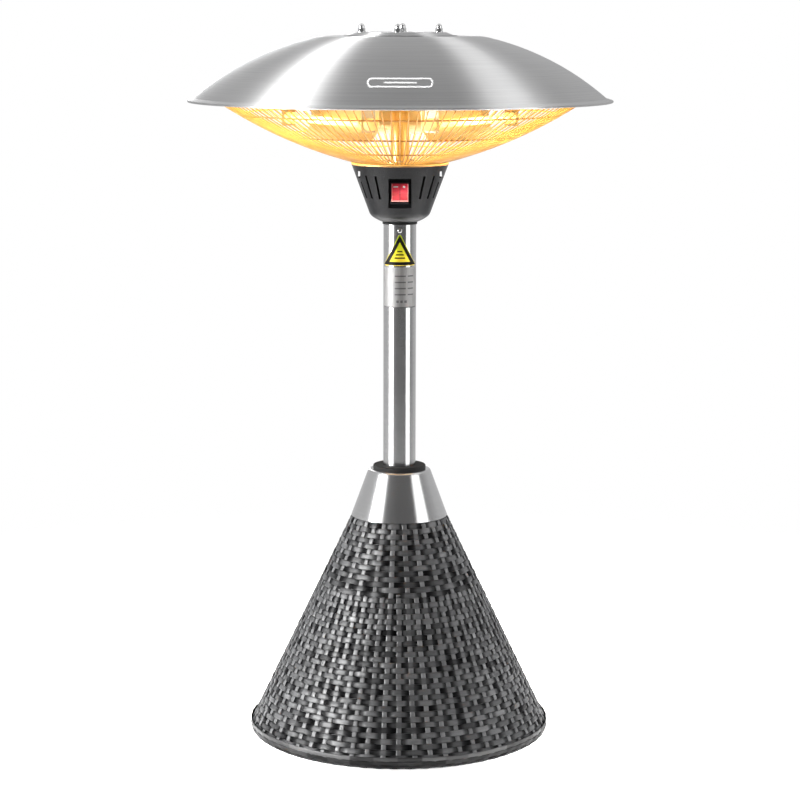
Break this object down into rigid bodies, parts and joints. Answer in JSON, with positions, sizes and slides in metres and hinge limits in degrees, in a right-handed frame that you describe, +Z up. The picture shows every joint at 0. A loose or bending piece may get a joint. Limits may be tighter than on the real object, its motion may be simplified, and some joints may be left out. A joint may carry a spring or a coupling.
{
  "type": "table-top electric patio heater",
  "caption": "Free-standing outdoor heater: weighted wicker cone, steel pole, black switch housing and a lit lamp head in a wire guard under a domed steel shade.",
  "frame": {"origin": "on the floor, under the pole's axis at the middle of the base", "axes": "+Z up along the pole, -Y towards the user through the switch, +X to the user's right"},
  "size_m": [0.54, 0.54, 0.92],
  "materials": {
    "shade_steel": "circumferentially brushed stainless steel",
    "pole_steel": "satin stainless tube",
    "collar_steel": "finely brushed stainless steel",
    "column_steel": "polished tube",
    "bright_steel": "polished fasteners and clips",
    "zinc_steel": "zinc-plated steel",
    "guard_wire": "plated guard wire, heat-tinted",
    "mirror_aluminium": "polished reflector sheet",
    "alloy": "turned alloy",
    "black_steel": "black powder coat",
    "cast_flange": "black cast iron",
    "concrete": "cast concrete",
    "rubber": "matt rubber",
    "black_plastic": "fine-grained black moulding",
    "black_gloss": "smooth black switch moulding",
    "red_rocker": "translucent red, lit from behind",
    "wicker": "flat grey resin wicker strand",
    "wicker_edge": "dark wrapped wicker edge",
    "yellow_label": "printed vinyl, yellow with a black border",
    "silver_label": "silver foil label, no writing",
    "badge_print": "pale printed outline",
    "ceramic": "unglazed ceramic",
    "brass": "bare brass",
    "lead_sleeve": "woven glass sleeve",
    "quartz": "clear quartz, lit amber",
    "filament": "glowing element"
  },
  "bodies": {
    "root": {"acorn_nuts": "bright_steel", "ballast_disc": "concrete", "base_collar": "collar_steel", "base_plate": "black_steel", "cable_gland": "black_plastic", "centre_column": "column_steel", "ceramic_caps": "ceramic", "column_hub": "zinc_steel", "column_screws": "zinc_steel", "control_housing": "black_plastic", "coupler_screws": "zinc_steel", "flange_bolts": "zinc_steel", "flange_nuts": "zinc_steel", "flange_washers": "zinc_steel", "foot_nuts": "zinc_steel", "foot_screws": "zinc_steel", "grille_clips": "bright_steel", "grille_hub_ring": "guard_wire", "grille_rim_ring": "guard_wire", "grille_rings": "guard_wire", "grille_wires": "guard_wire", "head_plate": "zinc_steel", "heating_filaments": "filament", "inner_cone": "black_steel", "lamp_brackets": "zinc_steel", "lamp_leads": "lead_sleeve", "lamp_reflectors": "mirror_aluminium", "main_reflector": "mirror_aluminium", "neck_seal": "rubber", "nut_washers": "bright_steel", "plate_label": "silver_label", "plate_screws": "zinc_steel", "pole_coupler": "alloy", "pole_flange": "cast_flange", "pole_grommet": "rubber", "pole_tube": "pole_steel", "quartz_tubes": "quartz", "rubber_feet": "rubber", "set_screw": "bright_steel", "shade_badge": "badge_print", "shade_dome": "shade_steel", "shade_standoffs": "alloy", "shade_studs": "zinc_steel", "stud_nuts": "zinc_steel", "switch_frame": "black_gloss", "switch_pivot": "bright_steel", "switch_terminals": "brass", "terminal_block": "ceramic", "terminal_screws": "brass", "top_plate": "shade_steel", "triangle_label": "yellow_label", "wicker_border": "wicker_edge", "wicker_cone": "wicker"},
    "left_rocker": {"rocker_left": "red_rocker"},
    "right_rocker": {"rocker_right": "red_rocker"}
  },
  "joints": [
    {"name": "left_switch", "type": "hinge", "parent": "root", "child": "left_rocker", "pos_m": [-0.0054, -0.038, 0.709], "axis": [1, 0, 0], "range_deg": [0, 18]},
    {"name": "right_switch", "type": "hinge", "parent": "root", "child": "right_rocker", "pos_m": [0.0054, -0.038, 0.709], "axis": [1, 0, 0], "range_deg": [0, 18]}
  ]
}
